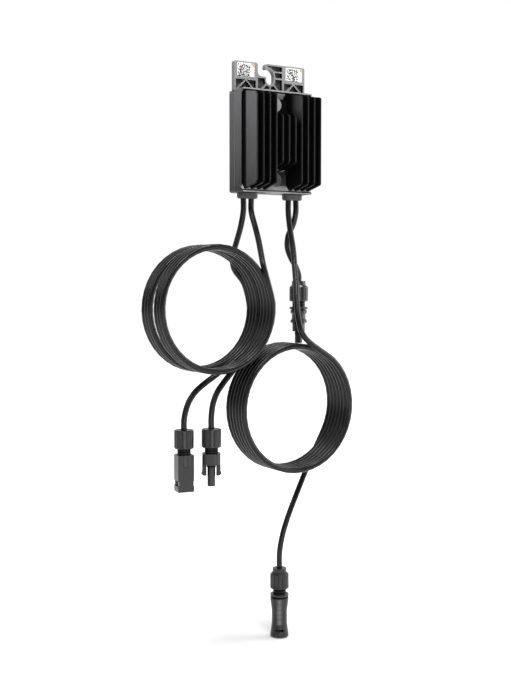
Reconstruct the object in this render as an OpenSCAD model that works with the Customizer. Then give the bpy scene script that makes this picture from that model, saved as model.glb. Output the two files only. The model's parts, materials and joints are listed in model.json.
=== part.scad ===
// Power optimizer for one solar module: a finned casing on a rear cover with a ribbed hook
// bracket, and four cables with connectors, three of them coiled.
// Millimetres, +Z up, +Y towards the rail. The origin is the centre of the hook slot's round
// closed end, on the back face of the bracket.

/* [Bracket] */
// Thickness of the hook bracket, from its back face to the parting plane
bracket_t = 5; // [4:0.5:7]
// Height of the bracket above the centre of the slot's closed end
bracket_rise = 15.8; // [15.4:0.1:20]
// Drop from the centre of the slot's closed end to the top of the housing
housing_drop = 12; // [11:0.5:15]
// Radius of the bolt slot's closed end, half the slot's width
slot_r = 4.5; // [4:0.1:5]
// Height of the ledge beside the slot, above the slot's closed end
ledge_rise = 3.1; // [2.8:0.1:3.4]
// Height of the hook's inner top above the slot's closed end
throat_rise = 11.2; // [11:0.1:11.6]
// Radius of the hook's inner arc
hook_r = 7.5; // [6:0.1:8]
// Distance from the slot's centre line to the left ear's inner edge
ear_x = 14.2; // [13.5:0.1:15.5]
// Distance from the slot's centre line to the hook's tip
tip_x = 5.8; // [5.4:0.1:6.5]
// Web left behind the pockets
web_t = 1.5; // [1:0.1:2.5]
// Thickness of the ribs between the pockets
rib_t = 1.5; // [1:0.1:2.2]
// Wall round the slot and along the bracket's edges
rim_t = 1.7; // [1.2:0.1:2.2]

/* [Housing] */
// Width of the rear cover and of its bracket
cover_w = 82.4; // [80:0.2:88]
// How much the casing narrows on each side, from the cover to its lips
side_draft = 0.8; // [0.3:0.1:1.2]
// Height of the housing
housing_h = 100.5; // [98:0.5:110]
// Depth of the front casing, from the parting plane to the front of its lips
casing_d = 15; // [14:0.5:18]
// Depth of the rear cover behind the parting plane
cover_d = 12; // [10:0.5:14]
// Side wall of the casing, which carries the seal
casing_wall = 4; // [3.6:0.1:5]
// Back wall of the rear cover
back_wall = 2; // [1.6:0.1:3]
// Thickness of the casing's front behind the grooves
base_t = 3; // [2.5:0.1:4]
// Corner radius of the rear cover, seen from the front
cover_corner_r = 4; // [2:0.5:5]
// Corner radius of the front casing, seen from the front
casing_corner_r = 2.5; // [1:0.25:3]
// Radius along the rear cover's back edges
back_r = 3; // [2:0.5:4]
// How far the lips stand in front of the groove floor
lip_d = 6; // [5:0.5:7]
// Thickness of the lips along the top and bottom edge
lip_t = 1.5; // [1.2:0.1:2.5]
// Depth of the step behind the lips
lip_step = 1.2; // [0.6:0.1:2]
// How far the side rims stand in front of the groove floor
rim_d = 2; // [1:0.25:3]
// Thickness of the side rims
side_rim_t = 1.2; // [0.8:0.1:1.8]

/* [Fins] */
// Number of fins
fin_count = 11; // [7:2:13]
// Number of short fins in the middle
short_fins = 3; // [1:2:5]
// Thickness of a fin
fin_t = 2; // [1.6:0.1:2.6]
// Depth of the fins in front of the groove floor
fin_d = 27; // [22:0.5:34]
// Distance from the casing's side to the middle of the outer fin
fin_inset = 3.6; // [3.3:0.1:4.5]
// Length of the short fins at their root
short_fin_h = 57; // [50:1:62]
// How much lower a fin's tip starts than its root, at the top
fin_top_slope = 4.5; // [3:0.5:8]
// How much higher a fin's tip ends than its root, at the bottom
fin_slope = 6; // [3:0.5:9]
// Corner radius of a fin, seen from the side
fin_corner_r = 4; // [2:0.5:6]
// Radius of the round bosses above and below the short fins
boss_r = 6.8; // [6:0.2:9]
// Height of the round bosses in front of the groove floor
boss_d = 1.5; // [1:0.25:3]
// Distance from the housing's end to the middle of a boss
boss_inset = 13.5; // [12:0.5:14]

/* [Inside] */
// Distance of the upper cover screws from the casing's sides
upper_screw_inset = 10; // [9:0.5:11]
// Distance of the lower cover screws from the centre line
lower_screw_x = 9; // [8:0.5:11]
// Distance of the cover screws from the housing's ends
screw_inset = 8.5; // [8:0.5:9.5]
// Radius of a cover screw's shank
screw_r = 1.5; // [1.2:0.1:1.7]
// Thickness of the circuit board
board_t = 1.6; // [1:0.2:2]
// Gap between the casing's sides and the circuit board
board_gap = 2; // [1.5:0.5:4]
// Distance from the housing's ends to the circuit board
board_inset = 14; // [13.5:0.5:16]
// Height of the stand-offs under the circuit board
standoff_h = 9; // [8.5:0.5:10]
// Width of the seal between casing and cover
seal_w = 1.8; // [1.2:0.1:2]
// Depth of the seal's groove
seal_d = 1.5; // [1:0.1:2]

/* [Cables] */
// Diameter of the cables
cable_d = 5.8; // [5:0.1:6]
// Distance from the casing's side to the middle of a cable boot
boot_inset = 13.9; // [13.4:0.1:15]
// Distance between the two cables in a boot
cable_gap = 9; // [8.5:0.1:10]
// Width of a boot's collar below the housing
boot_w = 21.4; // [20:0.2:23]
// Depth of a boot's collar below the housing
boot_d = 9.4; // [8.6:0.2:10]
// Height of a boot below the housing
boot_h = 5.5; // [4.5:0.5:8]
// Height of a boot's collar
boot_collar_h = 4.5; // [3:0.25:4.5]
// How far the collar stands out from the rest of the boot
boot_step = 0.7; // [0.5:0.1:1.2]
// Radius of the input cables' coils, to the middle of the cable
input_coil_r = 59; // [58:0.5:59]
// Radius of the long output cable's coil, to the middle of the cable
output_coil_r = 62; // [61:0.5:62]

/* [Connectors] */
// Radius of a connector's gland nut
nut_r = 9.5; // [9:0.1:10]
// Height of an input connector's gland nut
nut_h = 18; // [17:0.5:20]
// Height of an output connector's gland nut with its collar
output_nut_h = 21; // [20:0.5:23]
// Radius of the neck that the nut turns on
neck_r = 6.5; // [6:0.1:7]
// Width of the flat-sided input shell
shell_w = 16; // [15.8:0.1:17.5]
// Width of the input probe's body
body_w = 17.8; // [17:0.1:18.4]
// Radius of the round output connector bodies
grip_r = 9.3; // [9:0.1:9.6]
// Length of the input shell below its neck
shell_h = 35.4; // [33:0.2:38]
// Length of the output grip shell below its neck
grip_h = 40; // [38:0.5:44]
// Inner radius of the shells
shell_bore_r = 6.6; // [6.4:0.1:6.8]
// Radius of the contact pins
pin_r = 2; // [1.8:0.1:2.2]
// Radius of the probes that enter a shell
probe_r = 3.9; // [3.6:0.05:4]
// Length of the input probe below its body
probe_h = 21; // [20:0.5:24]
// Length of the output probe below its body
output_probe_h = 12; // [11:0.5:14]

/* [Hidden] */
$fn = 48;

// Clearance of pieces that slide into each other
fit = 0.1;
// Overlap of cuts past a face
cut = 1;
// Overlap of solids that are joined
lap = 0.1;

// Planes of the housing, from the rail to the fin tips
y_part = -bracket_t;
y_back = y_part + cover_d;
y_lip = y_part - casing_d;
y_floor = y_lip + lip_d;
y_tip = y_floor - fin_d;
y_cavity = y_floor + base_t;
z_top = -housing_drop;
z_bot = z_top - housing_h;
z_mid = (z_top + z_bot) / 2;
cable_r = cable_d / 2;

// Width of the casing across its lips
casing_w = cover_w - 2 * side_draft;

// Bracket
bracket_half = cover_w / 2;
pocket_d = bracket_t - web_t;
ear_pocket_top = -1.7;
ear_edge_r = 1.8;
ear_wall = rib_t + 1;
tip_r = 1.4;
panel_inset = 8;
panel_d = 0.6;
label_w = 19.4;
label_h = 13;
label_t = 0.3;
label_corner_r = 1;
label_z = 7.8;

// Fins
seal_corner_r = 3;
parting_step = 0.25;
fin_pitch = (casing_w - 2 * fin_inset) / (fin_count - 1);
groove_r = (fin_pitch - fin_t) / 2;
fin_gap = 0.7;
fin_end = lip_t + fin_gap;
long_fin_h = housing_h - 2 * fin_end;
side_fins = (fin_count - short_fins) / 2;

// Screws and their bosses, as x and z
screw_boss_r = 3.6;
screw_head_r = 2.8;
screw_head_h = 1.8;
upper_screw_x = casing_w / 2 - upper_screw_inset;
upper_screw_z = z_top - screw_inset;
lower_screw_z = z_bot + screw_inset;
cover_screw_points = [
    for (s = [-1, 1]) [s * upper_screw_x, upper_screw_z],
    for (s = [-1, 1]) [s * lower_screw_x, lower_screw_z]
];
screw_floor = 1;
cover_screw_end = y_cavity + screw_floor;

// Circuit board, between the stand-offs and the cover
cavity_w = casing_w - 2 * casing_wall;
cavity_h = housing_h - 2 * casing_wall;
cavity_corner_r = 0.5;
board_front = y_cavity + standoff_h;
board_back = board_front + board_t;
board_w = cavity_w - 2 * board_gap;
board_top = z_top - board_inset;
board_bot = z_bot + board_inset;
standoff_r = 2.6;
board_screw_inset = 3.5;
board_screw_r = 1.1;
board_screw_head_r = 2;
board_screw_head_h = 1.4;
board_screw_points = [
    for (s = [-1, 1]) [s * (board_w / 2 - board_screw_inset), board_top - board_screw_inset],
    for (s = [-1, 1]) [s * board_w / 6, board_bot + board_screw_inset]
];
board_h = board_top - board_bot;
board_screw_floor = 2.5;
board_screw_end = y_cavity + board_screw_floor;

// Parts on the board, in rows down its height
pad_row = 0.19;
inductor_row = 0.48;
capacitor_row = 0.72;
pad_z = board_top - pad_row * board_h;
inductor_z = board_top - inductor_row * board_h;
capacitor_z = board_top - capacitor_row * board_h;
transistor_h = 4.4;
transistor_w = board_w * 0.13;
transistor_pitch = board_w * 0.17;
pad_t = 1;
pad_margin = 1;
pad_w = board_w * 0.7;
pad_h = transistor_w + 3;
inductor_w = board_h * 0.27;
inductor_h = standoff_h * 0.8;
inductor_x = board_w * 0.2;
inductor_corner_r = inductor_w * 0.15;
capacitor_r = board_h * 0.066;
capacitor_h = standoff_h - 1;
capacitor_pitch = board_w * 0.19;
chip_w = board_w * 0.13;
chip_t = 1.2;
driver_w = board_w * 0.18;
driver_h = chip_w * 0.8;
driver_t = 1.6;
terminal_w = 6;
terminal_h = 7;
terminal_d = 2.4;

// Cables: how far each enters the housing, and its bare conductor
boot_x = casing_w / 2 - boot_inset;
sheath_in = 8;
conductor_r = 1.2;
conductor_gap = 2;
conductor_in = board_inset + terminal_h - conductor_gap;
boot_neck_w = 16;
boot_neck_d = 7;
boot_flange_t = 1.5;
boot_flange = 0.5;
z_boot = z_bot - boot_h;
exit_a = [-boot_x - cable_gap / 2, y_part, z_boot];
exit_b = [-boot_x + cable_gap / 2, y_part, z_boot];
exit_long = [boot_x - cable_gap / 2, y_part, z_boot];
exit_short = [boot_x + cable_gap / 2, y_part, z_boot];

// Coils: centre, first and last turn's depth, and turns wound clockwise seen from the front
turn_pitch = cable_d + 0.05;
turns_a = 3.27;
turns_b = 3.21;
turns_long = 6.28;
input_coil_x = -79;
input_coil_z = -226;
output_coil_x = 13;
output_coil_z = -326;
coil_a_back = 1.5;
coil_gap = 0.6;
coil_b_back = coil_a_back - turns_a * turn_pitch - cable_d - coil_gap;
coil_long_front = -40;
coil_long_back = coil_long_front + turns_long * turn_pitch;

// Routes of the stretches that are not coiled
straight = [0, 0, -12];
route_a_lead = concat([exit_a, exit_a + straight],
    [[-33, -3, -146], [-37, -1, -162], [-40.5, 0, -175]]);
route_b_lead = concat([exit_b, exit_b + straight],
    [[-22.5, -13, -145], [-25, -24, -160], [-27.5, -33, -174], [-28.5, -39, -185.5]]);
route_long_lead = concat([exit_long, exit_long + straight],
    [[23.5, -6, -147], [24, -11, -167], [22, -17, -186], [18.5, -25, -205], [15.5, -31, -222],
     [14, -36, -237], [16, -39, -250], [23, -40, -259]]);
route_short_lead = concat([exit_short, exit_short + straight],
    [[29.5, -2.5, -142], [26, 1, -153], [26, 2.8, -165], [30.5, 3, -176], [36.7, 3, -185],
     [40.2, 3, -194], [40.2, 3, -199.5]]);
route_a_tail = [[-70, -17.5, -290.4], [-82, -17, -298], [-92, -17, -305.5], [-99, -17, -314.5],
    [-103, -17, -325], [-104.5, -17, -334], [-104.5, -17, -341]];
route_b_tail = [[-54.3, -24, -286.2], [-64.5, -24, -297], [-72, -24, -306.5], [-76.5, -24, -317],
    [-78.5, -24, -330], [-78.5, -24, -341]];
route_long_tail = [[53, -3.5, -381.5], [45, -4, -396], [37, -5.5, -410], [28.5, -7, -425],
    [20, -8, -442], [13.5, -8, -460], [10, -8, -478], [10, -8, -493]];
tube_sides = 10;

// Connectors: where each hangs, and the stack inside its gland nut
input_shell_at = route_a_tail[len(route_a_tail) - 1];
input_probe_at = route_b_tail[len(route_b_tail) - 1];
output_probe_at = route_short_lead[len(route_short_lead) - 1];
output_shell_at = route_long_tail[len(route_long_tail) - 1];
connector_turn = [0, 0, -30];
shell_turn = [0, 0, -10];
cap_t = 3.5;
seal_h = 6;
neck_top = cap_t + seal_h;
sheath_end = neck_top + 4;
neck_show = 5.7;
collar_r = 7.1;
collar_h = 4.3;
nut_edge = 0.8;
nut_shoulder = 2;
flute_r = 0.8;
flute_count = 14;
flute_top = 0.7;
flute_bottom = 2;
shell_corner_r = 1.5;
body_corner_r = 6;
tongue_w = 7.8;
tongue_h = 11.4;
tongue_r = 8.9;
pin_recess = 7;
shell_bore_d = 27;
window_w = 5;
window_h = 5;
window_rise = 5.5;
notch_d = 0.9;
probe_body_h = 10.8;
finger_reach = 10.8;
finger_t = 4.2;
finger_w = 5.6;
barb = 0.8;
barb_h = 4;
socket_wall = 0.6;
contact_r = pin_r + socket_wall;
socket_depth = 14;
socket_recess = 0.6;
ring_r = 0.6;
ring_drop = 2.2;
waist = 1.5;
waist_rim = 2;
grip_ring_h = 3.8;
grip_ring_t = 2.2;
grip_groove_r = grip_r - 1.6;
grip_probe_r = grip_r - 0.8;
grip_probe_body_h = 21.4;
grip_probe_nose_h = 9;
grip_probe_nose_r = 6.5;

// Colours
casing_colour = [0.20, 0.20, 0.21];
bracket_colour = [0.52, 0.52, 0.53];
rubber_colour = [0.10, 0.10, 0.10];
cable_colour = [0.13, 0.13, 0.14];
plastic_colour = [0.17, 0.17, 0.18];
label_colour = [0.93, 0.93, 0.92];
steel_colour = [0.70, 0.70, 0.72];
copper_colour = [0.78, 0.50, 0.30];
board_colour = [0.10, 0.35, 0.20];

function unit(v) = v / norm(v);

// A drawing of the front view (x, z), extruded along Y from y0 to y1
module along_y(y0, y1) {
    translate([0, y1, 0]) rotate([90, 0, 0]) linear_extrude(y1 - y0) children();
}

// A drawing of the side view (y, z), extruded along X from x0 to x1
module along_x(x0, x1) {
    translate([x0, 0, 0]) rotate([90, 0, 90]) linear_extrude(x1 - x0) children();
}

// A drawing of the plan (x, y), extruded along Z from z0 to z1
module along_z(z0, z1) {
    translate([0, 0, z0]) linear_extrude(z1 - z0) children();
}

// A rectangle from one corner to the opposite one
module box2(from, to) {
    translate(from) square(to - from);
}

// The piece between a square corner and the arc that rounds it; dir points from the corner inwards
module corner(at, r, dir) {
    difference() {
        translate([at[0] + min(0, dir[0] * r), at[1] + min(0, dir[1] * r)]) square(r);
        translate(at + dir * r) circle(r);
    }
}

// A rectangle with its middle at the origin and round corners
module round_box2(w, h, r) {
    difference() {
        square([w, h], center = true);
        for (sx = [-1, 1], sy = [-1, 1]) corner([sx * w / 2, sy * h / 2], r, [-sx, -sy]);
    }
}

// A closed tube along a route, with a ring of points at each of its points
function route_dir(p, i) = unit(p[min(i + 1, len(p) - 1)] - p[max(i - 1, 0)]);
function ring_points(at, dir, r) =
    let (u = unit(cross(dir, [0, 1, 0])), v = cross(dir, u))
    [for (k = [0 : tube_sides - 1]) at + r * (u * cos(360 * k / tube_sides) + v * sin(360 * k / tube_sides))];

module cable_tube(route) {
    n = len(route);
    s = tube_sides;
    points = [for (i = [0 : n - 1]) each ring_points(route[i], route_dir(route, i), cable_r)];
    sides = [for (i = [0 : n - 2], k = [0 : s - 1])
        [i * s + k, (i + 1) * s + k, (i + 1) * s + (k + 1) % s, i * s + (k + 1) % s]];
    start = [for (k = [0 : s - 1]) k];
    end = [for (k = [s - 1 : -1 : 0]) (n - 1) * s + k];
    color(cable_colour) polyhedron(points, concat([start], sides, [end]));
}

// The turns of a coil as one ring: y0 is the middle of its first turn, away from the rail
module coil(x, z, r, y0, turns) {
    strands = round(turns) + 1;
    step = turns * turn_pitch / (strands - 1);
    color(cable_colour) translate([x, y0, z]) rotate([90, 0, 0]) rotate_extrude($fn = 96) {
        for (k = [0 : strands - 1]) translate([r, k * step]) circle(cable_r);
        translate([r - cable_r / 2, 0]) square([cable_r, (strands - 1) * step]);
    }
}

// Bracket outline: two ears, and a hook over the bolt slot between them
module bracket_outline() {
    difference() {
        box2([-bracket_half, z_top - cut], [bracket_half, bracket_rise]);
        for (s = [-1, 1]) corner([s * bracket_half, bracket_rise], ear_edge_r, [-s, -1]);
        difference() {
            box2([-ear_x, ledge_rise], [-tip_x, bracket_rise + cut]);
            corner([-ear_x, ledge_rise], slot_r, [1, 1]);
        }
        corner([-ear_x, bracket_rise], ear_edge_r, [-1, -1]);
        corner([-tip_x, bracket_rise], 2 * tip_r, [1, -1]);
        difference() {
            box2([-ear_x, ledge_rise], [slot_r, throat_rise]);
            corner([slot_r, throat_rise], hook_r, [-1, -1]);
            corner([-ear_x, ledge_rise], slot_r, [1, 1]);
        }
        box2([-slot_r, 0], [slot_r, ledge_rise + cut]);
        circle(slot_r);
    }
    translate([-tip_x + tip_r, throat_rise + tip_r / 4]) circle(tip_r);
}

// A rib of the bracket at an angle, starting from a point and running down
module rib(at, angle, length) {
    translate(at) rotate(angle) translate([-rib_t / 2, -length]) square([rib_t, length]);
}

// Pockets in the bracket's front, which leave its ribs standing
module bracket_pockets() {
    outer = bracket_half - rim_t;
    inner = ear_x + ear_wall;
    apex = (outer + inner) / 2;
    for (s = [-1, 1]) difference() {
        box2([min(s * inner, s * outer), z_top], [max(s * inner, s * outer), ear_pocket_top]);
        for (a = [-45, 45]) rib([s * apex, ear_pocket_top], a, 2 * housing_drop);
    }
    difference() {
        box2([-ear_x, z_top], [ear_x, ledge_rise - rim_t]);
        box2([-slot_r - rim_t, 0], [slot_r + rim_t, ledge_rise]);
        circle(slot_r + rim_t);
        for (a = [-45, 0, 45]) rib([0, 0], a, 2 * housing_drop);
    }
    difference() {
        box2([slot_r - hook_r, ledge_rise], [ear_x, bracket_rise - rim_t]);
        box2([-ear_x, ledge_rise], [slot_r + rim_t, throat_rise - hook_r]);
        translate([slot_r - hook_r, throat_rise - hook_r]) circle(hook_r + rim_t);
        rib([0, (ledge_rise + bracket_rise) / 2 - rim_t / 2], 90, ear_x);
    }
}

// The rear cover's tray, round along its back edges
module cover_tray() {
    intersection() {
        translate([0, 0, z_mid]) along_y(y_part, y_back) round_box2(cover_w, housing_h, cover_corner_r);
        along_x(-bracket_half, bracket_half) difference() {
            box2([y_part, z_bot], [y_back, z_top]);
            corner([y_back, z_bot], back_r, [-1, 1]);
            corner([y_back, z_top], back_r, [-1, -1]);
        }
        along_z(z_bot, z_top) difference() {
            box2([-bracket_half, y_part], [bracket_half, y_back]);
            for (s = [-1, 1]) corner([s * bracket_half, y_back], back_r, [-s, -1]);
        }
    }
}

module cavity(y0, y1) {
    translate([0, 0, z_mid]) along_y(y0, y1) round_box2(cavity_w, cavity_h, cavity_corner_r);
}

// A round boss, pin or hole along Y, at a point of the front view
module post(at, r, y0, y1) {
    translate([at[0], 0, at[1]]) along_y(y0, y1) circle(r);
}

// The opening for a boot's neck, shared by both shells
module boot_opening(x) {
    translate([x, y_part]) round_box2(boot_neck_w + 2 * fit, boot_neck_d + 2 * fit, boot_neck_d / 2);
}

module boot_openings() {
    for (s = [-1, 1]) along_z(z_bot - cut, z_bot + casing_wall + cut) boot_opening(s * boot_x);
}

module rear_cover() {
    color(bracket_colour) difference() {
        union() {
            difference() {
                cover_tray();
                cavity(y_part - cut, y_back - back_wall);
            }
            for (p = cover_screw_points) post(p, screw_boss_r, y_part, y_back - back_wall / 2);
            difference() {
                along_y(y_part, 0) bracket_outline();
                along_y(y_part - cut, y_part + pocket_d) bracket_pockets();
                cavity(y_part - cut, cut);
            }
        }
        translate([0, 0, z_mid]) along_y(y_back - panel_d, y_back + cut)
            round_box2(cover_w - 2 * panel_inset, housing_h - 4 * panel_inset, cover_corner_r);
        for (p = cover_screw_points) {
            post(p, screw_r + fit, y_part - cut, y_back + cut);
            post(p, screw_head_r + fit, y_back - screw_head_h, y_back + cut);
        }
        boot_openings();
    }
}

// Side view of the casing's front: the groove floor, with a lip at each end
module casing_side() {
    y_step = y_lip + lip_step;
    step = lip_t + lip_step;
    ramp = lip_t + lip_d;
    polygon([
        [y_part, z_top], [y_lip, z_top], [y_lip, z_top - lip_t],
        [y_step, z_top - lip_t], [y_step, z_top - step], [y_floor, z_top - ramp],
        [y_floor, z_bot + ramp], [y_step, z_bot + step], [y_step, z_bot + lip_t],
        [y_lip, z_bot + lip_t], [y_lip, z_bot], [y_part, z_bot]
    ]);
}

// Plan of the casing without its fins: the sides narrow from the cover's width to the casing's
module casing_plan() {
    back = cover_w / 2 - parting_step;
    front = casing_w / 2;
    polygon([[-back, y_part], [-front, y_lip], [front, y_lip], [back, y_part]]);
}

// Side view of one end of a fin, from its middle to an end at height h that slopes to the tip
module fin_end_side(h, slope) {
    lean = atan2(slope, fin_d);
    run = fin_corner_r * tan((90 - lean) / 2);
    translate([y_tip + fin_corner_r, h - slope - run]) circle(fin_corner_r);
    polygon([
        [y_cavity, 0], [y_cavity, h], [y_floor, h],
        [y_tip + run * cos(lean), h - slope + run * sin(lean)], [y_tip, h - slope - run], [y_tip, 0]
    ]);
}

// Side view of a fin of height h at its root
module fin_side(h) {
    translate([0, z_mid]) {
        fin_end_side(h / 2, fin_top_slope);
        mirror([0, 1]) fin_end_side(h / 2, fin_slope);
    }
}

// Plan of a row of fins with round tips and round groove floors, from fin number a to b
module fin_row(a, b) {
    for (i = [a : b]) {
        x = (i - (fin_count - 1) / 2) * fin_pitch;
        box2([x - fin_t / 2, y_tip + fin_t / 2], [x + fin_t / 2, y_cavity]);
        translate([x, y_tip + fin_t / 2]) circle(fin_t / 2);
        if (i < b) difference() {
            box2([x, y_floor - groove_r], [x + fin_pitch, y_cavity]);
            translate([x + fin_pitch / 2, y_floor - groove_r]) circle(groove_r);
        }
    }
}

module fin_block(a, b, h) {
    intersection() {
        along_z(z_bot, z_top) fin_row(a, b);
        along_x(-casing_w / 2, casing_w / 2) fin_side(h);
    }
}

// A low rim along the casing's side, which leaves a groove beside the outer fin
module side_rim(s) {
    end = lip_t + lip_step;
    along_z(z_bot + end, z_top - end)
        box2([s * casing_w / 2 - (s + 1) / 2 * side_rim_t, y_floor - rim_d],
             [s * casing_w / 2 - (s - 1) / 2 * side_rim_t, y_cavity]);
}

module front_casing() {
    color(casing_colour) difference() {
        union() {
            difference() {
                intersection() {
                    translate([0, 0, z_mid]) along_y(y_lip, y_part)
                        round_box2(cover_w, housing_h, casing_corner_r);
                    along_x(-cover_w / 2, cover_w / 2) casing_side();
                    along_z(z_bot, z_top) casing_plan();
                }
                cavity(y_cavity, y_part + cut);
            }
            fin_block(0, side_fins - 1, long_fin_h);
            fin_block(side_fins, fin_count - side_fins - 1, short_fin_h);
            fin_block(fin_count - side_fins, fin_count - 1, long_fin_h);
            for (s = [-1, 1]) {
                post([0, z_mid + s * (housing_h / 2 - boss_inset)], boss_r, y_floor - boss_d, y_cavity);
                side_rim(s);
            }
            for (p = cover_screw_points) post(p, screw_boss_r, y_cavity - base_t / 2, y_part);
            for (p = board_screw_points) post(p, standoff_r, y_cavity - base_t / 2, board_front);
            translate([0, 0, pad_z]) along_y(y_cavity - base_t / 2, board_front - transistor_h - pad_t)
                square([pad_w, pad_h], center = true);
        }
        for (p = cover_screw_points) post(p, screw_r + fit, cover_screw_end - fit, y_part + cut);
        for (p = board_screw_points) post(p, board_screw_r + fit, board_screw_end - fit, board_front + cut);
        seal_groove(y_part - seal_d, y_part + cut, seal_w + 2 * fit);
        boot_openings();
    }
}

// A band that follows the middle of the casing's wall
module seal_groove(y0, y1, w) {
    translate([0, 0, z_mid]) along_y(y0, y1) difference() {
        round_box2(casing_w - casing_wall + w, housing_h - casing_wall + w, seal_corner_r + w / 2);
        round_box2(casing_w - casing_wall - w, housing_h - casing_wall - w, seal_corner_r - w / 2);
    }
}

module perimeter_seal() {
    color(rubber_colour) difference() {
        seal_groove(y_part - seal_d + fit, y_part, seal_w);
        boot_openings();
    }
}

// A screw along Y with a hexagon socket, its head towards the rail
module screw(at, r, head_r, head_h, y_end, y_head) {
    difference() {
        union() {
            post(at, r, y_end, y_head);
            post(at, head_r, y_head, y_head + head_h);
        }
        translate([at[0], y_head + head_h + cut, at[1]]) rotate([90, 0, 0])
            cylinder(r = r, h = head_h / 2 + cut, $fn = 6);
    }
}

module cover_screws() {
    color(steel_colour) for (p = cover_screw_points) {
        screw(p, screw_r, screw_head_r, screw_head_h, cover_screw_end, y_back - screw_head_h);
    }
}

module board_screws() {
    color(steel_colour) for (p = board_screw_points) {
        screw(p, board_screw_r, board_screw_head_r, board_screw_head_h, board_screw_end, board_back);
    }
}

module circuit_board() {
    color(board_colour) difference() {
        along_y(board_front, board_back) box2([-board_w / 2, board_bot], [board_w / 2, board_top]);
        for (p = board_screw_points) post(p, board_screw_r + fit, board_front - cut, board_back + cut);
    }
}

// A block on the board's front, with its middle at a point of the front view
module board_block(at, w, h, d) {
    translate([at[0], 0, at[1]]) along_y(board_front - d, board_front) square([w, h], center = true);
}

module power_inductors() {
    color([0.25, 0.25, 0.27]) for (s = [-1, 1]) translate([s * inductor_x, 0, inductor_z])
        along_y(board_front - inductor_h, board_front) round_box2(inductor_w, inductor_w, inductor_corner_r);
}

module bus_capacitors() {
    color([0.75, 0.72, 0.55]) for (k = [-1.5 : 1 : 1.5]) {
        post([k * capacitor_pitch, capacitor_z], capacitor_r, board_front - capacitor_h, board_front);
    }
}

module power_transistors() {
    color([0.12, 0.12, 0.12]) for (k = [-1.5 : 1 : 1.5]) {
        board_block([k * transistor_pitch, pad_z], transistor_w, transistor_w, transistor_h);
    }
}

module thermal_pad() {
    y0 = board_front - transistor_h - pad_t;
    color([0.60, 0.66, 0.75]) translate([0, 0, pad_z]) along_y(y0, y0 + pad_t)
        square([pad_w - 2 * pad_margin, pad_h - 2 * pad_margin], center = true);
}

module control_chips() {
    color([0.14, 0.14, 0.15]) {
        for (s = [-1, 1]) translate([s * inductor_x, 0, inductor_z]) along_y(board_back, board_back + chip_t)
            square([chip_w, chip_w], center = true);
        translate([0, 0, pad_z]) along_y(board_back, board_back + driver_t)
            square([driver_w, driver_h], center = true);
    }
}

// Terminals on the board's lower edge, each with a hole for a conductor
cable_exits = [exit_a, exit_b, exit_long, exit_short];

module wire_terminals() {
    color([0.80, 0.65, 0.30]) for (e = cable_exits) difference() {
        along_z(board_bot, board_bot + terminal_h)
            box2([e[0] - terminal_w / 2, e[1] - terminal_d], [e[0] + terminal_w / 2, board_front]);
        translate([e[0], e[1], board_bot - cut]) cylinder(r = conductor_r + fit, h = terminal_h + 2 * cut);
    }
}

// The cables' ends inside the housing: sheath through the boot, and bare conductor
module wire_tails() {
    color(cable_colour) for (e = cable_exits) translate(e) {
        cylinder(r = cable_r, h = boot_h + sheath_in);
        cylinder(r = conductor_r, h = boot_h + conductor_in);
    }
}

// A boot clamped between the shells, for two cables
module cable_boot(x) {
    color(rubber_colour) difference() {
        union() {
            translate([x, y_part]) along_z(z_bot - boot_collar_h, z_bot)
                round_box2(boot_w, boot_d, boot_neck_d / 2);
            translate([x, y_part]) along_z(z_boot, z_bot - boot_collar_h)
                round_box2(boot_w - 2 * boot_step, boot_d - 2 * boot_step, boot_neck_d / 2 - boot_step / 2);
            translate([x, y_part]) along_z(z_bot, z_bot + casing_wall)
                round_box2(boot_neck_w, boot_neck_d, boot_neck_d / 2 - fit);
            translate([x, y_part]) along_z(z_bot + casing_wall, z_bot + casing_wall + boot_flange_t)
                round_box2(boot_neck_w + 2 * boot_flange, boot_neck_d + 2 * boot_flange, boot_neck_d / 2);
        }
        for (s = [-1, 1]) translate([x + s * cable_gap / 2, y_part, z_boot - cut])
            cylinder(r = cable_r + fit, h = boot_h + sheath_in + 2 * cut);
    }
}

module input_cable_boot() { cable_boot(-boot_x); }
module output_cable_boot() { cable_boot(boot_x); }

// A sticker on an ear of the bracket
module ear_label(s) {
    x = s * (bracket_half - rim_t + ear_x + ear_wall) / 2;
    color(label_colour) translate([x, 0, label_z]) along_y(y_part - label_t, y_part)
        round_box2(label_w, label_h, label_corner_r);
}

module label_left() { ear_label(-1); }
module label_right() { ear_label(1); }

module input_a_lead() { cable_tube(route_a_lead); }
module input_a_coil() { coil(input_coil_x, input_coil_z, input_coil_r, coil_a_back, turns_a); }
module input_a_tail() { cable_tube(route_a_tail); }
module input_b_lead() { cable_tube(route_b_lead); }
module input_b_coil() { coil(input_coil_x, input_coil_z, input_coil_r, coil_b_back, turns_b); }
module input_b_tail() { cable_tube(route_b_tail); }
module output_long_lead() { cable_tube(route_long_lead); }
module output_long_coil() { coil(output_coil_x, output_coil_z, output_coil_r, coil_long_back, turns_long); }
module output_long_tail() { cable_tube(route_long_tail); }
module output_short_lead() { cable_tube(route_short_lead); }

// The cables' ends inside the connectors
module connector_cable_ends() {
    color(cable_colour) for (at = [input_shell_at, input_probe_at, output_probe_at, output_shell_at])
        translate(at - [0, 0, sheath_end]) cylinder(r = cable_r, h = sheath_end);
}

// A round length of a connector, from depth d0 to d1 below its top
module turned(r, d0, d1) {
    translate([0, 0, -d1]) cylinder(r = r, h = d1 - d0);
}

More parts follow.
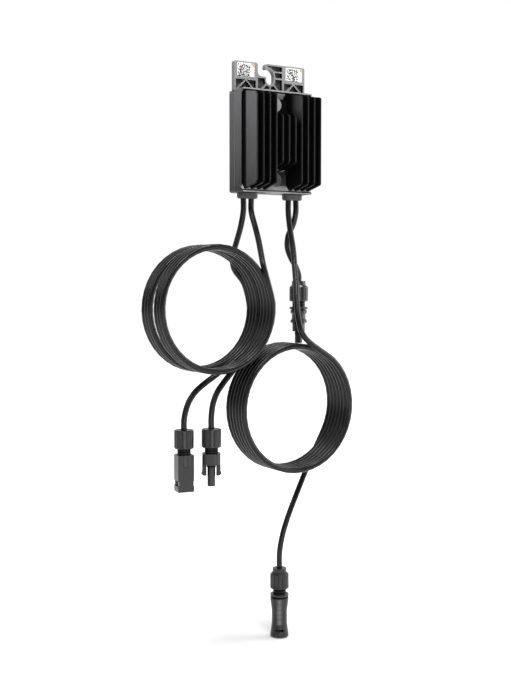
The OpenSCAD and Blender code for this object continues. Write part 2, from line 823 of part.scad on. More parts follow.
// Gland nut with grip flutes, and a collar at its top where the height of one is given
module gland_nut(h, collar) {
    shoulder = collar > 0 ? nut_shoulder : nut_edge;
    color(plastic_colour) difference() {
        union() {
            rotate_extrude() polygon([
                [0, -h], [nut_r - nut_edge, -h], [nut_r, -h + nut_edge],
                [nut_r, -collar - shoulder], [nut_r - shoulder, -collar], [0, -collar]
            ]);
            turned(collar_r, 0, collar + lap);
        }
        for (i = [0 : flute_count - 1]) rotate(360 * i / flute_count)
            translate([nut_r + flute_r / 3, 0]) turned(flute_r, collar + shoulder + flute_top, h - flute_bottom);
        turned(cable_r + fit, -cut, h + cut);
        turned(neck_r + fit, cap_t, h + cut);
    }
}

// Rubber sleeve between the nut's cap and the neck
module gland_seal() {
    color(rubber_colour) difference() {
        turned(neck_r, cap_t, neck_top);
        turned(cable_r + fit, cap_t - cut, neck_top + cut);
    }
}

// A ring and the groove below it, where a round connector body starts at depth d
module grip_ring(d) {
    turned(grip_r, d, d + grip_ring_t);
    turned(grip_groove_r, d, d + grip_ring_h + lap);
}

// A connector's neck and its bores for sheath and crimp, ending in the body at depth d
module neck(d) {
    turned(neck_r, neck_top, d);
}

module neck_bores(d) {
    turned(cable_r + fit, neck_top - cut, sheath_end);
    turned(contact_r + fit, sheath_end - cut, d);
}

// Contact pin with its crimp, standing in a shell
module contact_pin(d_end) {
    color(steel_colour) {
        turned(contact_r, sheath_end, d_end - shell_bore_d + pin_recess);
        turned(pin_r, sheath_end, d_end);
    }
}

// Contact socket with its crimp, inside a probe
module contact_socket(d_end) {
    color(steel_colour) difference() {
        turned(contact_r, sheath_end, d_end);
        turned(pin_r, d_end - socket_depth, d_end + cut);
    }
}

// A probe of length h below depth d0, with the bore of its contact and a groove for its sealing ring
module probe(d0, h) {
    turned(probe_r, d0 - lap, d0 + h);
}

module probe_cuts(d0, h) {
    turned(contact_r + fit, sheath_end - cut, d0 + h + cut);
    ring_track(d0, ring_r + fit);
}

module ring_track(d0, r) {
    translate([0, 0, -d0 - ring_drop]) rotate_extrude() translate([probe_r, 0]) circle(r);
}

module probe_ring(d0) {
    color(rubber_colour) ring_track(d0, ring_r);
}

// Input connector with an open shell
input_top = nut_h + neck_show;
input_shell_end = input_top + shell_h;

module input_shell_nut() { translate(input_shell_at) gland_nut(nut_h, 0); }
module input_shell_seal() { translate(input_shell_at) gland_seal(); }
module input_shell_pin() { translate(input_shell_at) contact_pin(input_shell_end - pin_recess); }

// Front view of the round-ended tongue that swells out of the shell's front and back
module tongue() {
    round_end = tongue_w / 2;
    box2([-round_end, round_end - tongue_h], [round_end, 0]);
    translate([0, round_end - tongue_h]) circle(round_end);
}

module input_shell_body() {
    color(plastic_colour) translate(input_shell_at) rotate(shell_turn) difference() {
        union() {
            neck(input_top + cut);
            along_z(-input_shell_end, -input_top) round_box2(shell_w, shell_w, shell_corner_r);
            intersection() {
                turned(tongue_r, input_top, input_top + tongue_h);
                translate([0, 0, -input_top]) along_y(-shell_w, shell_w) tongue();
            }
        }
        neck_bores(input_shell_end);
        turned(shell_bore_r, input_shell_end - shell_bore_d, input_shell_end + cut);
        translate([0, 0, window_rise + window_h / 2 - input_shell_end]) {
            cube([shell_w + 2 * cut, window_w, window_h], center = true);
            for (s = [-1, 1]) translate([s * (shell_w / 2 + cut - notch_d), 0, 0])
                cube([2 * cut, shell_w + 2 * cut, window_h], center = true);
        }
    }
}

// Input connector with a probe and two latch fingers
input_probe_end = input_top + probe_body_h;

module input_probe_nut() { translate(input_probe_at) gland_nut(nut_h, 0); }
module input_probe_seal() { translate(input_probe_at) gland_seal(); }
module input_probe_socket() {
    translate(input_probe_at) contact_socket(input_probe_end + probe_h - socket_recess);
}
module input_probe_ring() { translate(input_probe_at) probe_ring(input_probe_end); }

module latch_finger() {
    x = body_w / 2;
    rotate([90, 0, 0]) translate([0, 0, -finger_w / 2]) linear_extrude(finger_w) polygon([
        [x - finger_t, 1], [x, 1], [x, barb_h - finger_reach], [x + barb, barb_h * 0.7 - finger_reach],
        [x + barb, barb_h * 0.4 - finger_reach], [x - finger_t * 0.4, -finger_reach],
        [x - finger_t, -finger_reach]
    ]);
}

module input_probe_body() {
    color(plastic_colour) translate(input_probe_at) rotate(connector_turn) difference() {
        union() {
            neck(input_top + cut);
            along_z(-input_probe_end, -input_top) round_box2(body_w, body_w, body_corner_r);
            for (a = [0, 180]) rotate(a) translate([0, 0, -input_probe_end]) latch_finger();
            probe(input_probe_end, probe_h);
        }
        neck_bores(input_probe_end);
        probe_cuts(input_probe_end, probe_h);
    }
}

// Output connectors: a collar above the nut, a ring below the neck and a waisted round grip
output_top = output_nut_h + neck_show;

// A waisted length from depth d0 to d1
module waisted(r, d0, d1) {
    half = (d1 - d0) / 2;
    translate([0, 0, -(d0 + d1) / 2]) rotate_extrude() polygon([
        [0, -half], [r, -half], [r, waist_rim - half], [r - waist, -half / 3],
        [r - waist, half / 3], [r, half - waist_rim], [r, half], [0, half]
    ]);
}

// Output connector with a probe, on the short cable
output_probe_start = output_top + grip_ring_h;
output_probe_end = output_top + grip_probe_body_h + grip_ring_h;

module output_probe_nut() { translate(output_probe_at) gland_nut(output_nut_h, collar_h); }
module output_probe_seal() { translate(output_probe_at) gland_seal(); }
module output_probe_ring() { translate(output_probe_at) probe_ring(output_probe_end); }

module output_probe_socket() {
    translate(output_probe_at) contact_socket(output_probe_end + output_probe_h - socket_recess);
}

module output_probe_body() {
    nose = output_probe_end - grip_probe_nose_h;
    color(plastic_colour) translate(output_probe_at) difference() {
        union() {
            neck(output_top + cut);
            grip_ring(output_top);
            waisted(grip_probe_r, output_probe_start, nose);
            turned(grip_probe_nose_r, nose - lap, output_probe_end);
            probe(output_probe_end, output_probe_h);
        }
        neck_bores(output_probe_end);
        probe_cuts(output_probe_end, output_probe_h);
    }
}

// Output connector with an open shell and ladder grips, on the long cable
output_shell_start = output_top + grip_ring_h;
output_shell_end = output_shell_start + grip_h;
grip_pads = 3;
grip_pad_w = 6;
grip_pad_top = 2.5;
grip_pad_h = 8.6;
grip_pad_t = 0.7;
grip_window_w = 9;
grip_window_h = 2.6;

module output_shell_nut() { translate(output_shell_at) gland_nut(output_nut_h, collar_h); }
module output_shell_seal() { translate(output_shell_at) gland_seal(); }
module output_shell_pin() { translate(output_shell_at) contact_pin(output_shell_end - pin_recess); }

module output_shell_body() {
    pad_y = grip_r - waist - lap;
    color(plastic_colour) translate(output_shell_at) rotate(connector_turn) difference() {
        union() {
            neck(output_top + cut);
            grip_ring(output_top);
            waisted(grip_r, output_shell_start, output_shell_end);
            for (i = [0 : grip_pads - 1], a = [0, 180]) rotate(a)
                translate([0, 0, -output_shell_start - grip_pad_top - i * grip_pad_h])
                    along_x(-grip_pad_w / 2, grip_pad_w / 2)
                        polygon([[-pad_y + waist, 0], [-pad_y, 0], [-pad_y - grip_pad_t, -grip_pad_h + lap],
                            [-pad_y + waist, -grip_pad_h + lap]]);
        }
        neck_bores(output_shell_end);
        turned(shell_bore_r, output_shell_end - shell_bore_d, output_shell_end + cut);
        translate([0, 0, window_rise + grip_window_h / 2 - output_shell_end])
            cube([grip_window_w, 2 * grip_r + 2 * cut, grip_window_h], center = true);
    }
}

rear_cover();
front_casing();
perimeter_seal();
cover_screws();
circuit_board();
board_screws();
power_inductors();
bus_capacitors();
power_transistors();
thermal_pad();
control_chips();
wire_terminals();
wire_tails();
input_cable_boot();
output_cable_boot();
label_left();
label_right();
input_a_lead();
input_a_coil();
input_a_tail();
input_b_lead();
input_b_coil();
input_b_tail();
output_long_lead();
output_long_coil();
output_long_tail();
output_short_lead();
connector_cable_ends();
input_shell_nut();
input_shell_seal();
input_shell_body();
input_shell_pin();
input_probe_nut();
input_probe_seal();
input_probe_body();
input_probe_socket();
input_probe_ring();
output_probe_nut();
output_probe_seal();
output_probe_body();
output_probe_socket();
output_probe_ring();
output_shell_nut();
output_shell_seal();
output_shell_body();
output_shell_pin();
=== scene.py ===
import json
import logging
import math
from dataclasses import dataclass, field
from enum import Enum
from typing import Sequence

import bpy
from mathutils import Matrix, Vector

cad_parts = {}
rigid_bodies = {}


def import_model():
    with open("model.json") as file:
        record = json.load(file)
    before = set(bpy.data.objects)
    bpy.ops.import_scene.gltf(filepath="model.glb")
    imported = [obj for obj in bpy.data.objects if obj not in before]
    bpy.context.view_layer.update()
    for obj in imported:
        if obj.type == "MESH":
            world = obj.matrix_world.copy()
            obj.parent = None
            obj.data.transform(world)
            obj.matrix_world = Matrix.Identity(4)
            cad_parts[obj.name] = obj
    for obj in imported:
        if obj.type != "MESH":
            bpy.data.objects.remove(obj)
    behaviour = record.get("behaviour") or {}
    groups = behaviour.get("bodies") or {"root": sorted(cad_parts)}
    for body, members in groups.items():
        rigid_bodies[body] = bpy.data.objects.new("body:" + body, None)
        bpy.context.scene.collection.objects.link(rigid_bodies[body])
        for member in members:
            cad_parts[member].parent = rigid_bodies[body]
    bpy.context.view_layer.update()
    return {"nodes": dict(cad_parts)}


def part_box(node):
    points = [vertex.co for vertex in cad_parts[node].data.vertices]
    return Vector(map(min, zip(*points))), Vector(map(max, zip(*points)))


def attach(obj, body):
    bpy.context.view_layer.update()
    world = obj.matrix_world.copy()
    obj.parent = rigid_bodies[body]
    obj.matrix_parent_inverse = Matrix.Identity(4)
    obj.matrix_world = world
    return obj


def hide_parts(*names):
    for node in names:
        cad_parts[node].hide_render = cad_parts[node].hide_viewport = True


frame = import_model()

MM = 0.001
LOG = logging.getLogger("power_optimizer")
Colour = tuple[float, float, float]
Point = tuple[float, float, float]
Span = tuple[float, float]
Socket = bpy.types.NodeSocket
WHITE = (1.0, 1.0, 1.0, 1.0)
MIX_COLOURS = (6, 7)
MIX_RESULT = 2
RANDOM_BOOLEAN = 3
EDGE_SAMPLES = 4


class Surface(Enum):
    """How fine the moulded or sprayed grain of a finish is, as waves per metre."""

    SATIN = 700.0
    FINE_GRAIN = 1600.0
    CAST_GRAIN = 2600.0


def add_node(tree: bpy.types.NodeTree, kind: str, values: dict | None = None,
             **attributes: object) -> bpy.types.Node:
    """Adds a node to a tree.

    Args:
        tree: the tree.
        kind: Blender's node type.
        values: input name or number to a value, or to a socket that is linked to it.
        attributes: properties of the node.

    Returns:
        The new node.
    """
    made = tree.nodes.new(kind)
    for key, value in attributes.items():
        setattr(made, key, value)
    for key, value in (values or {}).items():
        if isinstance(value, Socket):
            tree.links.new(value, made.inputs[key])
        else:
            made.inputs[key].default_value = value
    return made


class Graph:
    """A procedural material under construction: a principled shader and the nodes that feed it."""

    def __init__(self, name: str) -> None:
        """Starts an empty material.

        Args:
            name: the material's name.
        """
        self.material = bpy.data.materials.new(name)
        self.material.use_nodes = True
        self.tree = self.material.node_tree
        self.tree.nodes.clear()
        self.shader = self.node("ShaderNodeBsdfPrincipled")
        out = self.node("ShaderNodeOutputMaterial")
        self.tree.links.new(self.shader.outputs["BSDF"], out.inputs["Surface"])

    def node(self, kind: str, values: dict | None = None, **attributes: object) -> bpy.types.Node:
        """Adds a node, as add_node does."""
        return add_node(self.tree, kind, values, **attributes)

    def place(self) -> Socket:
        """Returns the Object coordinates, in metres of the part's frame."""
        return self.node("ShaderNodeTexCoord").outputs["Object"]

    def facing(self) -> list[Socket]:
        """Returns the X, Y and Z of the way a face points."""
        return self.axes(self.node("ShaderNodeNewGeometry").outputs["True Normal"])

    def axes(self, vector: Socket) -> list[Socket]:
        """Splits a vector.

        Args:
            vector: the socket to split.

        Returns:
            Its X, Y and Z.
        """
        return list(self.node("ShaderNodeSeparateXYZ", {0: vector}).outputs)

    def noise(self, scale: float, detail: float, vector: Socket) -> Socket:
        """Adds a noise texture.

        Args:
            scale: waves per metre.
            detail: octaves.
            vector: where it is read.

        Returns:
            Its factor.
        """
        made = self.node("ShaderNodeTexNoise", {"Vector": vector, "Scale": scale, "Detail": detail})
        return made.outputs["Fac"]

    def calc(self, operation: str, a: object, b: object = 0.0) -> Socket:
        """Adds a math node.

        Args:
            operation: Blender's name of the operation.
            a: first value or socket.
            b: second value or socket, where the operation has one.

        Returns:
            The result.
        """
        return self.node("ShaderNodeMath", {0: a, 1: b}, operation=operation).outputs[0]

    def size(self, value: Socket) -> Socket:
        """Returns a value without its sign."""
        return self.calc("ABSOLUTE", value)

    def over(self, value: Socket, limit: float) -> Socket:
        """Marks where a value is greater than a limit."""
        return self.calc("GREATER_THAN", value, limit)

    def under(self, value: Socket, limit: float) -> Socket:
        """Marks where a value is less than a limit."""
        return self.calc("LESS_THAN", value, limit)

    def within(self, value: Socket, low: float, high: float) -> Socket:
        """Marks where a value lies between two limits."""
        return self.calc("MULTIPLY", self.over(value, low), self.under(value, high))

    def elsewhere(self, mark: Socket) -> Socket:
        """Marks where another mark is 0."""
        return self.calc("SUBTRACT", 1.0, mark)

    def all_of(self, *marks: Socket) -> Socket:
        """Multiplies marks.

        Args:
            marks: the sockets to multiply.

        Returns:
            Their product, 1 where all of them are 1.
        """
        made = marks[0]
        for mark in marks[1:]:
            made = self.calc("MULTIPLY", made, mark)
        return made

    def span(self, value: Socket, low: float, high: float, to_low: float = 0.0,
             to_high: float = 1.0) -> Socket:
        """Maps a span of a value to another, clamped.

        Args:
            value: the socket to map.
            low: where the span begins.
            high: where it ends.
            to_low: result at its beginning.
            to_high: result at its end.

        Returns:
            The mapped value.
        """
        made = self.node("ShaderNodeMapRange", {"Value": value, "From Min": low, "From Max": high,
                                                "To Min": to_low, "To Max": to_high})
        return made.outputs["Result"]

    def blend(self, factor: Socket, a: object, b: object) -> Socket:
        """Mixes two colours.

        Args:
            factor: 0 gives a, 1 gives b.
            a: colour or socket.
            b: colour or socket.

        Returns:
            The mixed colour.
        """
        tones = [tone if isinstance(tone, Socket) else (*tone, 1.0) for tone in (a, b)]
        made = self.node("ShaderNodeMix", {0: factor, **dict(zip(MIX_COLOURS, tones))}, data_type="RGBA")
        return made.outputs[MIX_RESULT]

    def relief(self, height: Socket, depth: float, strength: float, edge: float) -> None:
        """Gives the shader a bump, over edges that look slightly rounded.

        Args:
            height: the relief's height, 0 to 1.
            depth: its depth in metres.
            strength: how much of it shows.
            edge: radius of the rounded edges in metres, or 0.
        """
        bump = self.node("ShaderNodeBump", {"Height": height, "Distance": depth, "Strength": strength})
        if edge > 0:
            soft = self.node("ShaderNodeBevel", {"Radius": edge}, samples=EDGE_SAMPLES)
            self.tree.links.new(soft.outputs[0], bump.inputs["Normal"])
        self.tree.links.new(bump.outputs[0], self.shader.inputs["Normal"])

    def set(self, **values: object) -> None:
        """Sets the shader's inputs.

        Args:
            values: input name, with underscores for spaces, to a value or a socket.
        """
        for key, value in values.items():
            slot = self.shader.inputs[key.replace("_", " ")]
            if isinstance(value, Socket):
                self.tree.links.new(value, slot)
            else:
                slot.default_value = value


# Waves per metre and octaves of a finish's colour and roughness, and the part of their noise that counts.
MOTTLE = (55.0, 4.0)
WEAR = (140.0, 3.0)
CLOUD = (0.3, 0.7)
GRAIN_OCTAVES = 3.0
GRAIN_DEPTH = 0.25 * MM


@dataclass(frozen=True)
class Finish:
    """A finish with a mottled colour, a varying roughness and a fine grain."""

    name: str
    low: Colour
    high: Colour
    rough: Span
    grain: Surface
    relief: float
    metallic: float = 0.0
    edge: float = 0.0
    specular: float = 0.5

    def colour(self, graph: Graph) -> Socket:
        """Returns the mottled colour.

        Args:
            graph: the material under construction.

        Returns:
            The colour socket.
        """
        cloud = graph.noise(*MOTTLE, graph.place())
        return graph.blend(graph.span(cloud, *CLOUD), self.low, self.high)

    def gloss(self, graph: Graph, colour: Socket) -> Socket | float:
        """Returns how strongly the finish reflects.

        Args:
            graph: the material under construction.
            colour: its colour.

        Returns:
            The specular level.
        """
        return self.specular

    def material(self) -> bpy.types.Material:
        """Makes the finish's material on first use.

        Returns:
            The material.
        """
        title = f"{self.name}_finish"
        known = bpy.data.materials.get(title)
        if known:
            return known
        graph = Graph(title)
        colour = self.colour(graph)
        wear = graph.noise(*WEAR, graph.place())
        fine = graph.noise(self.grain.value, GRAIN_OCTAVES, graph.place())
        graph.set(Base_Color=colour, Metallic=self.metallic, Specular_IOR_Level=self.gloss(graph, colour),
                  Roughness=graph.span(wear, *CLOUD, *self.rough))
        graph.relief(fine, GRAIN_DEPTH, self.relief, self.edge)
        return graph.material


@dataclass(frozen=True)
class Coat(Finish):
    """A coat that turns matt where its colour darkens, as in the painted shade of the fins' grooves."""

    matt: Span = (0.006, 0.06)
    matt_specular: float = 0.04

    def gloss(self, graph: Graph, colour: Socket) -> Socket:
        """Returns a specular level that falls with the coat's brightness."""
        grey = graph.node("ShaderNodeRGBToBW", {0: colour}).outputs[0]
        return graph.span(grey, *self.matt, self.matt_specular, self.specular)


@dataclass(frozen=True)
class FinCoat(Coat):
    """The casing's coat, one grey painted with light and shade: lit lips and bosses, grey outer walls with
    painted shade towards the bottom, and near-black painted shade in the grooves between the fins.
    """

    # Colours of one grey coat: painted light on the bosses, ramps and lips and on the channel walls and the
    # basin; painted shade on the walls, in the fins' grooves and round the bosses; the fins' front edges are
    # darker.
    front: Colour = (0.42, 0.42, 0.425)
    lit_rim: Colour = (0.31, 0.31, 0.315)
    shade: Colour = (0.034, 0.034, 0.036)
    recess_shade: Colour = (0.0045, 0.0045, 0.005)
    painted_glow: Colour = (0.060, 0.060, 0.063)
    tip: Colour = (0.016, 0.016, 0.017)
    shaded_boss: Colour = (0.085, 0.085, 0.088)
    height: Span = (-112.0 * MM, -14.0 * MM)
    outer_x: float = 37.5 * MM
    side_x: float = 39.6 * MM
    channel_x: Span = (13.0 * MM, 14.3 * MM)
    channel_y: Span = (-23.0 * MM, -35.0 * MM)
    channel_z: Span = (-46.0 * MM, -32.0 * MM)
    root_y: Span = (-22.6 * MM, -20.8 * MM)
    ends_y: float = -20.5 * MM
    tip_y: Span = (-40.6 * MM, -40.85 * MM)
    boss_y: Span = (-15.9 * MM, -15.1 * MM)
    boss_wall_y: Span = (-15.45 * MM, -13.9 * MM)
    basin_y: Span = (-14.6 * MM, -13.4 * MM)
    basin_z: Span = (-86.0 * MM, -104.0 * MM)
    ramp_y: Span = (-19.9 * MM, -13.0 * MM)
    low_ramp_z: float = -100.0 * MM
    top_ramp_x: Span = (9.6 * MM, 8.2 * MM)
    lip_y: Span = (-20.3 * MM, -19.6 * MM)
    flank_nx: float = 0.35
    ahead_ny: float = -0.8
    ramp_nz: float = 0.3

    def colour(self, graph: Graph) -> Socket:
        """Paints light and shade into the coat by where a point is and which way it faces.

        Args:
            graph: the material under construction.

        Returns:
            The colour socket.
        """
        x, y, z = graph.axes(graph.place())
        nx, ny, nz = graph.facing()
        wide = graph.size(x)
        rise = graph.span(z, *self.height)
        flank = graph.over(graph.size(nx), self.flank_nx)
        ahead = graph.under(ny, self.ahead_ny)
        ramps = graph.within(y, *self.ramp_y)
        in_channel = graph.under(wide, self.channel_x[0])
        channel_wall = graph.all_of(graph.within(wide, *self.channel_x), graph.span(y, *self.channel_y),
                                    graph.span(z, *self.channel_z))
        groove = graph.all_of(graph.under(wide, self.outer_x), flank)
        root = graph.all_of(graph.under(wide, self.side_x), graph.span(y, *self.root_y))
        ends = graph.all_of(graph.under(y, self.ends_y), graph.elsewhere(flank))
        boss_wall = graph.all_of(graph.within(y, *self.boss_wall_y), graph.elsewhere(ahead),
                                 graph.under(wide, self.channel_x[1]))
        basin = graph.all_of(ahead, graph.within(y, *self.basin_y), in_channel,
                             graph.span(z, *self.basin_z))
        boss = graph.all_of(ahead, graph.within(y, *self.boss_y))
        low_ramp = graph.all_of(ramps, graph.over(nz, self.ramp_nz), graph.under(z, self.low_ramp_z))
        # Painted light on the upper ramps, cut off across the channel at a painted shadow's edge.
        top_ramp = graph.all_of(ramps, graph.under(nz, -self.ramp_nz), in_channel,
                                graph.span(x, *self.top_ramp_x))
        lip = graph.all_of(ahead, graph.within(y, *self.lip_y))
        tip = graph.span(y, *self.tip_y)
        # Painted shade: the coat darkens towards the bottom.
        made = graph.blend(rise, self.shade, super().colour(graph))
        # Then, by place: painted shade in the grooves, fin roots, fin ends and boss walls; painted light on
        # the channel walls and the basin, on the bosses, shaded towards the bottom, and on the ramps and
        # lips; darker fins' front edges.
        for mark, tone in ((groove, graph.blend(channel_wall, self.recess_shade, self.painted_glow)), (root, self.recess_shade),
                           (ends, self.recess_shade), (tip, self.tip), (boss_wall, self.recess_shade), (basin, self.painted_glow),
                           (boss, graph.blend(rise, self.shaded_boss, self.front)), (low_ramp, self.front),
                           (top_ramp, self.front), (lip, self.lit_rim)):
            made = graph.blend(mark, made, tone)
        return made


@dataclass(frozen=True)
class CoverCoat(Coat):
    """The rear cover's coat: a light bracket with painted shade in its pockets, and the casing's grey on its
    sides with painted shade towards the bottom.
    """

    # Painted shade: the sides darken towards the bottom, the pocket floors are darker and the pocket walls
    # near black.
    shaded_side: Colour = (0.118, 0.118, 0.122)
    shade: Colour = (0.036, 0.036, 0.038)
    floor: Colour = (0.060, 0.060, 0.063)
    pocket_shade: Colour = (0.006, 0.006, 0.0065)
    height: Span = (-112.0 * MM, -14.0 * MM)
    side_top: float = -12.5 * MM
    pocket_y: Span = (-4.93 * MM, -0.9 * MM)
    pocket_low: float = -12.3 * MM
    pocket_x: float = 40.4 * MM
    hook: Span = (-3.0 * MM, 3.7 * MM)
    hook_r: Span = (7.2 * MM, 7.8 * MM)
    slot_x: Span = (-4.7 * MM, 4.7 * MM)
    slot_top: float = 6.0 * MM
    mouth_x: float = -3.2 * MM
    mouth_z: float = 2.2 * MM
    side_nx: float = 0.3
    floor_ny: float = 0.5
    ledge_nz: float = 0.5

    def cut_out(self, graph: Graph, x: Socket, z: Socket) -> Socket:
        """Marks the walls of the hook, its slot and its mouth, which are kept out of the painted shade.

        Args:
            graph: the material under construction.
            x: the point's X.
            z: the point's Z.

        Returns:
            1 on those walls, and 0 elsewhere.
        """
        from_hook = graph.node("ShaderNodeCombineXYZ", {0: graph.calc("SUBTRACT", x, self.hook[0]),
                                                        2: graph.calc("SUBTRACT", z, self.hook[1])})
        reach = graph.node("ShaderNodeVectorMath", {0: from_hook.outputs[0]}, operation="LENGTH")
        arc = graph.within(reach.outputs["Value"], *self.hook_r)
        slot = graph.all_of(graph.within(x, *self.slot_x), graph.under(z, self.slot_top))
        mouth = graph.all_of(graph.under(x, self.mouth_x), graph.over(z, self.mouth_z))
        return graph.calc("MAXIMUM", graph.calc("MAXIMUM", arc, slot), mouth)

    def colour(self, graph: Graph) -> Socket:
        """Paints shade into the coat by where a point is and which way it faces.

        Args:
            graph: the material under construction.

        Returns:
            The colour socket.
        """
        x, y, z = graph.axes(graph.place())
        nx, ny, nz = graph.facing()
        sides = graph.all_of(graph.over(graph.size(nx), self.side_nx), graph.under(z, self.side_top))
        sunk = graph.all_of(graph.within(y, *self.pocket_y), graph.over(z, self.pocket_low))
        floors = graph.all_of(sunk, graph.under(ny, -self.floor_ny))
        walls = graph.all_of(sunk, graph.under(graph.size(ny), self.floor_ny),
                             graph.under(graph.size(x), self.pocket_x), graph.under(nz, self.ledge_nz),
                             graph.elsewhere(self.cut_out(graph, x, z)))
        # Painted shade on the sides, the pocket floors and the pocket walls.
        made = super().colour(graph)
        for mark, tone in ((sides, graph.blend(graph.span(z, *self.height), self.shade, self.shaded_side)),
                           (floors, self.floor), (walls, self.pocket_shade)):
            made = graph.blend(mark, made, tone)
        return made


@dataclass(frozen=True)
class Sheath(Finish):
    """Extruded cable sheath, with faint marks along its length."""

    marks_around: float = 9.0
    marks_along: float = 22.0
    mark_octaves: float = 4.0
    mark_span: Span = (0.32, 0.68)

    def colour(self, graph: Graph) -> Socket:
        """Streaks the sheath's colour along the cable.

        Args:
            graph: the material under construction.

        Returns:
            The colour socket.
        """
        along = graph.node("ShaderNodeAttribute", attribute_name="along").outputs["Fac"]
        around = graph.node("ShaderNodeAttribute", attribute_name="around").outputs["Fac"]
        lay = graph.node("ShaderNodeCombineXYZ", {0: graph.calc("MULTIPLY", around, self.marks_around),
                                                  1: graph.calc("MULTIPLY", along, self.marks_along)})
        streak = graph.noise(1.0, self.mark_octaves, lay.outputs[0])
        return graph.blend(graph.span(streak, *self.mark_span), self.low, self.high)


@dataclass(frozen=True)
class ConnectorPlastic(Coat):
    """Moulded connector plastic: painted shade in the nut's flutes and other crevices, black on the threaded
    neck below the nut, and a painted highlight down one grip.
    """

    neck: Span = (0.0, 0.0)
    # The darkest colour: the black of the neck's threads, and the painted shade in crevices.
    thread_and_shade: Colour = (0.003, 0.003, 0.0032)
    crest: Colour = (0.0075, 0.0075, 0.008)
    matt: Span = (0.005, 0.011)
    pitch: float = 2.6 * MM
    crest_span: Span = (0.2, 0.9)
    crevice: float = 2.2 * MM
    sky_samples: int = 8
    open_span: Span = (0.55, 0.92)
    axis: Span = (0.0, 0.0)
    strip: Span = (0.0, 0.0)
    strip_w: float = 7.6 * MM
    strip_turn: float = math.radians(-32.0)
    # Colour of the painted highlight down the grip.
    ridge: Colour = (0.150, 0.150, 0.155)
    rung: float = 5.3 * MM
    rung_gap: float = 0.09

    def grip(self, graph: Graph, base: Socket) -> Socket:
        """Adds a painted highlight down the front and back of a grip: a lighter strip, crossed by darker
        rungs.

        Args:
            graph: the material under construction.
            base: the colour around the strip.

        Returns:
            The colour with the strip.
        """
        x, y, z = graph.axes(graph.place())
        right = graph.calc("MULTIPLY", graph.calc("SUBTRACT", x, self.axis[0]), math.cos(self.strip_turn))
        back = graph.calc("MULTIPLY", graph.calc("SUBTRACT", y, self.axis[1]), math.sin(self.strip_turn))
        near = graph.span(graph.size(graph.calc("ADD", right, back)), self.strip_w / 2, 0.0)
        below = graph.calc("SUBTRACT", self.strip[1], z)
        step = graph.calc("FRACT", graph.calc("DIVIDE", below, self.rung))
        flat = graph.all_of(near, graph.within(z, *self.strip), graph.over(step, self.rung_gap))
        return graph.blend(flat, base, self.ridge)

    def colour(self, graph: Graph) -> Socket:
        """Paints shade into the plastic by how open a point lies, and paints the neck's threads and the
        grip's highlight by where a point is.

        Args:
            graph: the material under construction.

        Returns:
            The colour socket.
        """
        z = graph.axes(graph.place())[2]
        # Painted shade: crevices found by the ambient-occlusion node take the darkest colour.
        sky = graph.node("ShaderNodeAmbientOcclusion", {"Distance": self.crevice}, samples=self.sky_samples)
        open_sky = graph.span(sky.outputs["AO"], *self.open_span)
        made = graph.blend(open_sky, self.thread_and_shade, super().colour(graph))
        wave = graph.calc("SINE", graph.calc("MULTIPLY", z, 2.0 * math.pi / self.pitch))
        turns = graph.blend(graph.span(wave, *self.crest_span), self.thread_and_shade, self.crest)
        # Painted highlight down the grip.
        if self.strip[1] > self.strip[0]:
            made = self.grip(graph, made)
        return graph.blend(graph.within(z, *self.neck), made, turns)


COVER = CoverCoat("cover_coat", (0.225, 0.225, 0.23), (0.265, 0.265, 0.27), (0.46, 0.60),
                  Surface.CAST_GRAIN, 0.10, edge=0.35 * MM, specular=0.34)
CASING = FinCoat("casing_coat", (0.140, 0.140, 0.145), (0.165, 0.165, 0.17), (0.42, 0.56),
                 Surface.CAST_GRAIN, 0.10, edge=0.35 * MM, specular=0.30)
SHEATH = Sheath("cable_sheath", (0.006, 0.006, 0.0064), (0.010, 0.010, 0.0105), (0.27, 0.34),
                Surface.SATIN, 0.04, specular=0.24)
BOOT = Finish("boot_rubber", (0.060, 0.060, 0.062), (0.080, 0.080, 0.083), (0.36, 0.46),
              Surface.FINE_GRAIN, 0.08, edge=0.4 * MM)
RUBBER = Finish("seal_rubber", (0.008, 0.008, 0.0085), (0.014, 0.014, 0.0145), (0.44, 0.56),
                Surface.FINE_GRAIN, 0.10, specular=0.3)
PAPER = Finish("label_paper", (0.90, 0.90, 0.89), (0.94, 0.94, 0.93), (0.34, 0.46), Surface.SATIN, 0.03)
CODE_INK = Finish("label_ink", (0.010, 0.010, 0.011), (0.020, 0.020, 0.021), (0.40, 0.50),
                  Surface.SATIN, 0.02)
GREY_INK = Finish("label_grey", (0.50, 0.50, 0.50), (0.60, 0.60, 0.60), (0.40, 0.50), Surface.SATIN, 0.02)
CORNER_INK = Finish("label_corner", (0.87, 0.27, 0.014), (0.92, 0.33, 0.022), (0.36, 0.46),
                    Surface.SATIN, 0.02)
STEEL = Finish("screw_steel", (0.50, 0.50, 0.51), (0.62, 0.62, 0.63), (0.22, 0.38), Surface.SATIN, 0.10,
               metallic=1.0, edge=0.15 * MM)
TINNED = Finish("contact_tin", (0.62, 0.61, 0.58), (0.74, 0.73, 0.70), (0.18, 0.32), Surface.SATIN, 0.06,
                metallic=1.0)
BRASS = Finish("terminal_brass", (0.62, 0.44, 0.17), (0.74, 0.55, 0.24), (0.24, 0.38), Surface.SATIN, 0.06,
               metallic=1.0)
BOARD = Finish("board_green", (0.020, 0.110, 0.050), (0.035, 0.150, 0.070), (0.34, 0.46),
               Surface.SATIN, 0.10)
CHIP = Finish("chip_black", (0.016, 0.016, 0.017), (0.028, 0.028, 0.030), (0.48, 0.62),
              Surface.FINE_GRAIN, 0.16)
CAN = Finish("can_aluminium", (0.66, 0.66, 0.65), (0.76, 0.76, 0.75), (0.26, 0.40), Surface.SATIN, 0.06,
             metallic=1.0)
GAP_PAD = Finish("gap_pad", (0.30, 0.36, 0.42), (0.38, 0.44, 0.50), (0.60, 0.74), Surface.FINE_GRAIN, 0.20)


